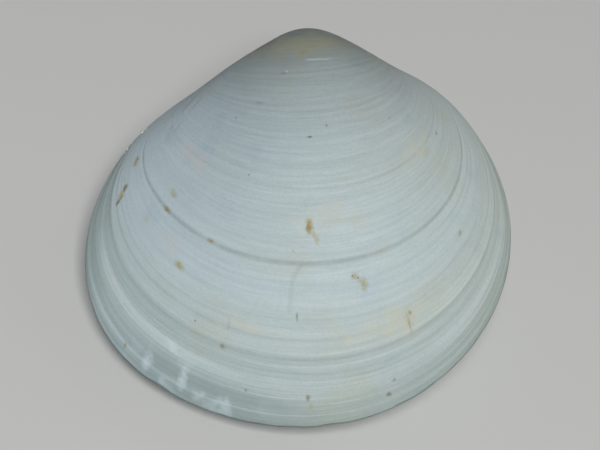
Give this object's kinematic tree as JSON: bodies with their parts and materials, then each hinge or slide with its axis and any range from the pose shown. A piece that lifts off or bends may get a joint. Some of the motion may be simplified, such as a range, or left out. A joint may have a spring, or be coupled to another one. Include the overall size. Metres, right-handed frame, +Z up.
{
  "type": "tellina remies sea shell",
  "caption": "Closed rounded bivalve sea shell, dull white with concentric growth lines, lying on one valve.",
  "frame": {"origin": "middle of the shell's bounding box, at the height of the surface that it rests on", "axes": "+Z up, +Y towards the hinge and beaks, +X towards the front end of the shell"},
  "size_m": [0.0672, 0.0668, 0.0332],
  "materials": {
    "right_valve_shell": "dull white shell, faint tan stains",
    "left_valve_shell": "dull white shell, faint tan stains",
    "ligament_horn": "dry dark brown"
  },
  "bodies": {
    "root": {"right_valve": "right_valve_shell", "left_valve": "left_valve_shell", "ligament": "ligament_horn"}
  },
  "joints": []
}
